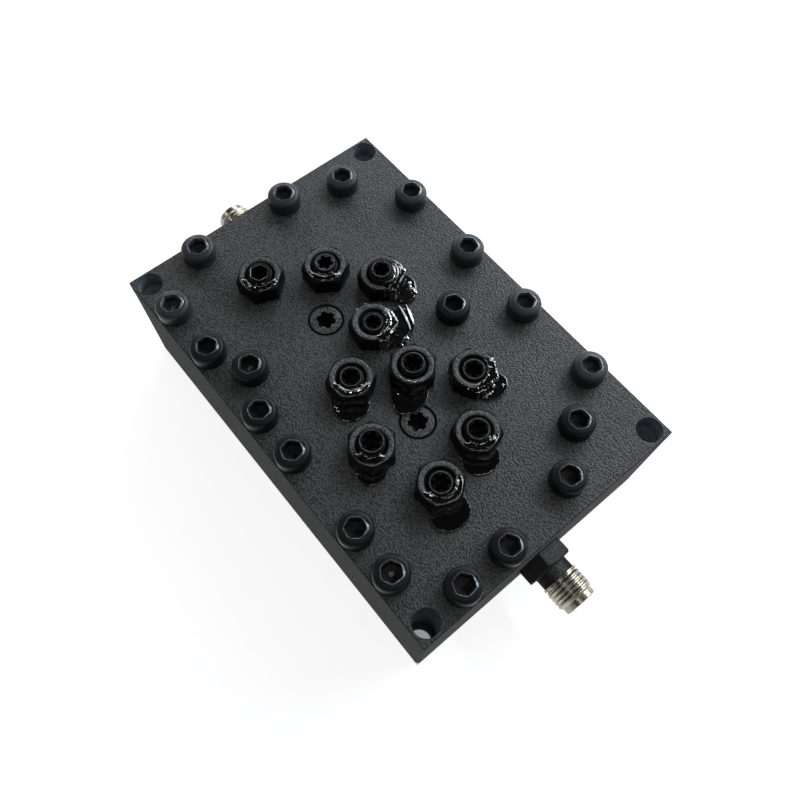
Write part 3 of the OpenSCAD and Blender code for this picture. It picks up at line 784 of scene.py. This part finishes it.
class CAVITYFILTER_OT_lacquer(bpy.types.Operator):
    """Runs locking lacquer over each nut and lets it pool on the cover"""

    bl_idname = "cavity_filter.lacquer"
    bl_label = "Locking lacquer"

    def execute(self, context):
        film_height = context.scene.cavity_filter_sizes.film_height / MM
        for order, (key, (screw, turn, _, _)) in enumerate(STACKS.items()):
            centre = on_axis("lock_nut_" + key, COVER_TOP)
            climb = (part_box(screw)[1].z - COVER_TOP) / MM - 0.3
            bm = bmesh.new()
            columns = [self.column(key, order, math.radians(1.5 * i), turn, climb, film_height)
                       for i in range(240)]
            rings = [[centre + c[i] for c in columns] for i in range(len(columns[0]))]
            rings.append(rings[0])
            skin(bm, rings)
            for half_width, height, path in BEADS.get(key, ()):
                self.bead(bm, [Vector((x, y, FILMS[key][3])) for x, y in path], half_width,
                          height)
            place("lacquer_" + key, bm, 60, [screw_lacquer])
        return {"FINISHED"}

    def column(self, key, order, a, turn, climb, film_height):
        """One upright slice through the film, in mm, from the screw to the pool's edge."""
        inner, lip, ripple, pool_height, over, start, end, cover = FILMS[key]
        degrees = math.degrees(a)
        film = round_table(cover, degrees, 10)
        reach = round_table(POOLS[key], degrees) if key in POOLS else 3.3
        side = nut_side(a, turn)
        h = NUT_HEIGHT / MM
        fall = math.tan(math.radians(round_table(LIP_SLOPE, degrees)))
        half_span = (end - start) % 360 / 2
        off = abs((degrees - start - half_span + 180) % 360 - 180)
        raised = max(0, min(1, (half_span - off) / 5))
        throat = 1.86

        def waves(r, z, scale):
            p = polar(r, a, z) + Vector((order * 17.3,) * 3)
            return noise.noise(p * scale) + 0.5 * noise.noise(p * scale * 2.3)

        def wet(r):
            """Cover of the film at a radius: under 0 it lies inside the nut."""
            level = film * 1.6 - 0.45 + 0.5 * waves(r, h, 1.3) - 2.2 * max(0, inner - r)
            if not over:
                level -= 4 * max(0, r - 3.08)
            return max(-0.5, min(1, level))

        def face_drop(r):
            for (r0, d0), (r1, d1) in zip(NUT_FACE, NUT_FACE[1:]):
                if r <= r1:
                    return d0 + (d1 - d0) * max(0, r - r0) / (r1 - r0)
            return NUT_FACE[-1][1]

        full = max(0, wet(2))
        top = max(min(climb, h + 0.2), h - 0.45) if full > 0 else h - 0.75
        grown = min(1, full * 2)
        points = [(throat, h - 0.75 + (top - h + 0.75) * grown),
                  (2.02, h - 0.8 + (top - h + 0.7) * grown)]
        for k in range(18):
            r = 2.08 + 0.07 * k
            level = wet(r)
            soaked = max(0, level)
            drop = face_drop(r)
            fill = soaked * drop
            rise = 0.2 * math.exp(-(r - 2) / 0.18) * full
            crest = ripple * math.cos((r - 2.2) * 2 * math.pi / 0.42)
            beads = fall * raised * max(0, min(0.28, (r - lip + 0.32) * 2.4,
                                                 lip + 0.18 - r))
            beads += 0.005 * waves(r, h, 4)
            points.append((r, h - drop + fill + rise + film_height * level
                           + soaked * (crest + beads + 0.01 * waves(r, h, 2))))
        rim = wet(3.3) if over else -0.5
        wall = film_height * rim
        edge = h - nut_fall(side) * (1 - max(0, rim))
        shoulder = max(3.285, side - 0.22)
        brink = max(shoulder + 0.1, side - 0.03) + 0.7 * wall
        edge += 0.01 * max(0, rim) * waves(side, h, 3)
        points += [(r, edge - fall * (r - shoulder) + 0.9 * film_height * rim)
                   for r in (shoulder, (shoulder + brink) / 2, brink)]
        points += [(side + wall * (1 + 0.5 * waves(side, part * h, 0.9)), part * edge)
                   for part in (0.84, 0.7, 0.55, 0.42)]
        depth = max(0, min(1, (reach - side) / 0.3))
        foot = side - 0.03 + max(0, wall)
        outer = max(reach + 0.12 * waves(reach, 0, 1.1), foot - 0.1)
        points.append((foot, max(pool_height * depth, 0.05)))
        for u in (0.04, 0.09, 0.2, 0.35, 0.5, 0.65, 0.77, 0.85, 0.91, 0.95, 0.98):
            r = foot + u * (outer - foot)
            z = pool_height * depth * (1 - u ** 40) if depth > 0 else -0.03
            points.append((r, z + 0.06 * depth * waves(r, 0, 0.9) * (1 - u)))
        points += [(outer, -0.02), (outer - 0.02, -0.12), (throat, -0.12)]
        return [polar(r * MM, a, z * MM) for r, z in points]

    def bead(self, bm, path, half_width, height):
        """A low bead of lacquer along a path in mm, standing on the cover."""
        rings = []
        fine = [start.lerp(end, k / 4) for start, end in zip(path, path[1:]) for k in range(4)]
        fine.append(path[-1])
        for i, place_mm in enumerate(fine):
            ahead = fine[min(i + 1, len(fine) - 1)] - fine[max(i - 1, 0)]
            across = Vector((-ahead.y, ahead.x, 0)).normalized()
            taper = max(0.05, math.sin(math.pi * (i + 0.3) / (len(fine) - 0.4))) ** 0.45
            ring = []
            for k in range(20):
                t = math.pi * k / 10
                spot = place_mm + across * (half_width * math.cos(t) * taper)
                roof = spot.z + height * (1 - abs(math.cos(t))) * taper
                ring.append(Vector((spot.x, spot.y, roof if k <= 10 else -0.02)) * MM
                            + Vector((0, 0, COVER_TOP)))
            rings.append(ring)
        made = skin(bm, rings)
        close_ring(bm, made[0], sum(rings[0], Vector()) / 20, flip=True)
        close_ring(bm, made[-1], sum(rings[-1], Vector()) / 20)


class CAVITYFILTER_OT_jacks(bpy.types.Operator):
    """Builds the two jacks with their coupling threads, and finishes their inner parts"""

    bl_idname = "cavity_filter.jacks"
    bl_label = "Coaxial jacks"

    def execute(self, context):
        pitch = context.scene.cavity_filter_sizes.jack_pitch
        for name, side, turn in (("near", 1, 14.4), ("far", -1, 20)):
            self.shell(name, side, turn, pitch)
            dress("dielectric_" + name, machined_ptfe)
            dress("contact_" + name, gold_plate)
            dress("tap_wire_" + name, silver_plate)
        return {"FINISHED"}

    def shell(self, name, side, turn, pitch):
        """A jack in mm outward from the block's wall: root, hexagon, neck, thread and nose."""
        axis = Vector((side * BLOCK_HALF_L, on_axis("jack_shell_" + name).y, JACK_HEIGHT))
        outward = Matrix.Translation(axis) @ Matrix.Rotation(side * math.pi / 2, 4, "Y")
        angles = hex_angles(turn)
        flat, rounding, face = 4, 0.25, 4.15
        root, hexagon, neck, end, nose = -5.5, 2.7, 4.65, 8.5, 9.6
        bore, recess, seat, undercut = 2.05, 2.3, nose - 1.9, 2.84

        def hex_at(inset):
            return lambda a: hex_radius(a, turn, flat, rounding) - inset

        def chamfer(sink):
            return lambda a: hexagon - sink - max(0, hex_at(0)(a) - face) * CHAMFER

        painted = [(bore, root), (3.175, root), (3.175, 0), (hex_at(0.12), 0),
                   (hex_at(0), 0.12), (hex_at(0), chamfer(0.16)), (hex_at(0.05), chamfer(0.06)),
                   (lambda a: min(hex_at(0.2)(a), face), hexagon), (3.05, hexagon),
                   (2.9, hexagon + 0.15), (2.9, neck - 0.02)]
        bare = [(2.9, neck - 0.02), (3.1, neck), (3.15, neck + 0.05), (3.15, neck + 0.2),
                (3.08, neck + 0.24), (3.15, neck + 0.28), (3.15, neck + 0.4),
                (undercut, neck + 0.46), (undercut, neck + 0.6)]
        front = [(undercut, end), (2.75, end + 0.06), (2.75, nose - 0.12), (2.65, nose),
                 (2.4, nose), (recess, nose - 0.1), (recess, seat), (bore, seat), (bore, root)]
        bm = bmesh.new()
        for rows, index in ((painted, 1), (bare, 0), (front, 0)):
            turned(bm, angles, rows, Vector(), index)
        crest, valley, core = 3.175 * MM, 3.06 * MM, undercut * MM
        start, stop = bare[-1][1] * MM, end * MM
        helix(bm, angles, ((0, crest), (0.26, crest), (0.5, valley), (0.76, valley)), pitch,
              start, stop, core,
              lambda r, h: min(r, core + (stop - h) * 0.9, core + (h - start) * 3))
        bm.transform(outward)
        place("jack_" + name, bm, 32, [nickel_plate, sand_coat],
              ["jack_shell_" + name])


class CAVITYFILTER_OT_stage(bpy.types.Operator):
    """Lays the floor and sets the sky, the lamps and the camera"""

    bl_idname = "cavity_filter.stage"
    bl_label = "Stage"

    def execute(self, context):
        scene = context.scene
        stage = scene.cavity_filter_stage
        bm = bmesh.new()
        flat, wall, sunk = stage.floor_radius, stage.floor_radius * 1.35, -0.02 * MM
        cove = wall - flat
        profile = [(flat * k / 6, 0) for k in range(1, 7)]
        profile += [(flat + cove * math.sin(t), cove * (1 - math.cos(t)))
                    for t in (math.radians(9 * k) for k in range(1, 11))]
        profile.append((wall, wall * 0.7))
        around = [2 * math.pi * k / 96 for k in range(96)]
        made = skin(bm, [[polar(r, a, z + sunk) for a in around] for r, z in profile])
        close_ring(bm, made[0], Vector((0, 0, sunk)), flip=True)
        floor = put("floor", to_mesh(bm, "floor_shape"))
        floor.data.materials.append(self.floor_material(stage.floor_lift))
        self.sky(scene, stage.sky)
        day, pale, warm = (0.82, 0.93, 1), (1, 0.97, 0.92), (1, 0.99, 0.97)
        self.lamp("window", (-0.22, 0.36, 0.28), (0.4, 0.24), stage.window_level, day)
        self.lamp("strip", (0.07, 0.4, 0.32), (0.4, 0.025), stage.strip_level, day)
        self.lamp("far_side", (-0.05, 0.45, 0.16), (0.3, 0.1), 1.5 * stage.side_level, pale)
        self.lamp("left_side", (-0.45, 0.1, 0.15), (0.2, 0.1), stage.side_level, pale)
        self.lamp("corner", (-0.26, -0.2, 0.26), (0.04, 0.04), 1.6 * stage.spot_level, warm)
        for number, where in enumerate(SPOTS):
            self.lamp("spot_%d" % number, where, (0.022, 0.022), stage.spot_level, warm)
        self.camera(scene)
        scene.view_settings.view_transform = "Standard"
        return {"FINISHED"}

    def seen(self, add):
        """1 for a ray from the camera or out of a mirror or glass, 0 for lighting."""
        path = add("LightPath").outputs
        ray = path["Is Camera Ray"]
        for kind in ("Is Glossy Ray", "Is Transmission Ray"):
            ray = add("Math", {0: ray, 1: path[kind]}, operation="ADD", use_clamp=True)
        return ray

    def floor_material(self, lift):
        """Matt pale paper, lifted where it is seen near the object, so that it is white."""
        made, add, where = start_material("white_paper_sweep")
        matt = add("BsdfDiffuse", {"Color": (0.45, 0.45, 0.45, 1)})
        away = add("VectorMath", {0: where}, operation="LENGTH")
        near = add("MapRange", {"Value": away,
            "From Min": 0.24, "From Max": 0.5, "To Min": lift, "To Max": 0.3 * lift})
        # Under the block the lift drops to 0.35 of itself: a painted shadow, seen through the
        # holes.
        split = add("SeparateXYZ", {0: add("VectorMath", {0: where}, operation="ABSOLUTE")})
        under = [add("Math", {0: split.outputs[axis], 1: half}, operation="LESS_THAN")
                 for axis, half in (("X", BLOCK_HALF_L), ("Y", BLOCK_HALF_W))]
        covered = add("Math", {0: under[0], 1: under[1]}, operation="MULTIPLY")
        dim = add("MapRange", {"Value": covered, "To Min": 1, "To Max": 0.35})
        near = add("Math", {0: near, 1: dim}, operation="MULTIPLY")
        glow = add("Math", {0: self.seen(add), 1: near}, operation="MULTIPLY")
        light = add("Emission", {"Color": (1, 1, 1, 1), "Strength": glow})
        add("OutputMaterial", {"Surface": add("AddShader", {0: matt, 1: light})})
        return made

    def sky(self, scene, strength):
        """A plain sky that is brighter over the far long side and dim overhead."""
        world = bpy.data.worlds.new("studio_sky")
        world.use_nodes = True
        add = adder(world.node_tree)
        way = add("SeparateXYZ", {0: add("TexCoord").outputs["Generated"]})
        level = add("MapRange", {
            "Value": way.outputs["Y"], "From Min": -0.2, "From Max": 0.9,
            "To Min": 0.3 * strength, "To Max": strength})
        dim = add("MapRange", {
            "Value": way.outputs["Z"], "From Min": 0.75, "From Max": 0.93, "To Min": 1,
            "To Max": 0.25})
        both = add("Math", {0: level, 1: dim}, operation="MULTIPLY")
        light = add("Background", {"Color": (0.95, 0.98, 1, 1), "Strength": both})
        add("OutputWorld", {"Surface": light})
        scene.world = world

    def lamp(self, name, where, size, level, colour):
        """An area lamp that alone would light a white surface facing it to the level."""
        data = bpy.data.lights.new(name, "AREA")
        data.shape = "RECTANGLE"
        data.size, data.size_y = size
        data.color = colour
        data.energy = level * math.pi ** 2 * Vector(where).length_squared
        lamp = put(name, data)
        lamp.location = where
        aim = Vector((0, 0, 0.02)) - Vector(where)
        lamp.rotation_euler = aim.to_track_quat("-Z", "Y").to_euler()
        lamp.visible_camera = False

    def camera(self, scene):
        """The photograph's camera: its lens, its three directions and its place in mm."""
        data = bpy.data.cameras.new("camera")
        data.lens, data.sensor_width = 33.95, 36
        data.clip_start, data.clip_end = 0.005, 20
        camera = put("camera", data)
        right, up = (0.63909, 0.76882, 0.02167), (-0.70693, 0.57608, 0.41033)
        back = (0.30299, -0.27756, 0.91168)
        where = Matrix.Translation(Vector((42.343, -36.268, 128.315)) * MM)
        camera.matrix_world = where @ Matrix((right, up, back)).transposed().to_4x4()
        scene.camera = camera


class CAVITYFILTER_PT_panel(bpy.types.Panel):
    """Lists the steps that dress the filter"""

    bl_idname = "CAVITYFILTER_PT_panel"
    bl_label = "Cavity filter"
    bl_space_type = "VIEW_3D"
    bl_region_type = "UI"
    bl_category = "Cavity filter"

    def draw(self, context):
        for step in STEPS:
            self.layout.operator(step.bl_idname)
        for group in GROUPS:
            box = self.layout.box()
            values = getattr(context.scene, "cavity_filter_" + group)
            for field in values.bl_rna.properties:
                if field.identifier not in ("rna_type", "name"):
                    box.prop(values, field.identifier)


STEPS = (
    CAVITYFILTER_OT_block,
    CAVITYFILTER_OT_cover_screws,
    CAVITYFILTER_OT_lock_nuts,
    CAVITYFILTER_OT_adjusting_screws,
    CAVITYFILTER_OT_lacquer,
    CAVITYFILTER_OT_jacks,
    CAVITYFILTER_OT_stage,
)
GROUPS = {"finish": FilterFinish, "sizes": FilterSizes, "stage": FilterStage}
CLASSES = (*GROUPS.values(), *STEPS, CAVITYFILTER_PT_panel)


def register():
    for each in CLASSES:
        bpy.utils.register_class(each)
    for name, group in GROUPS.items():
        setattr(bpy.types.Scene, "cavity_filter_" + name, PointerProperty(type=group))


def unregister():
    for name in GROUPS:
        delattr(bpy.types.Scene, "cavity_filter_" + name)
    for each in reversed(CLASSES):
        bpy.utils.unregister_class(each)


def main():
    register()
    for step in STEPS:
        getattr(bpy.ops.cavity_filter, step.bl_idname.split(".")[1])()
    bpy.context.view_layer.update()


if __name__ == "__main__":
    main()
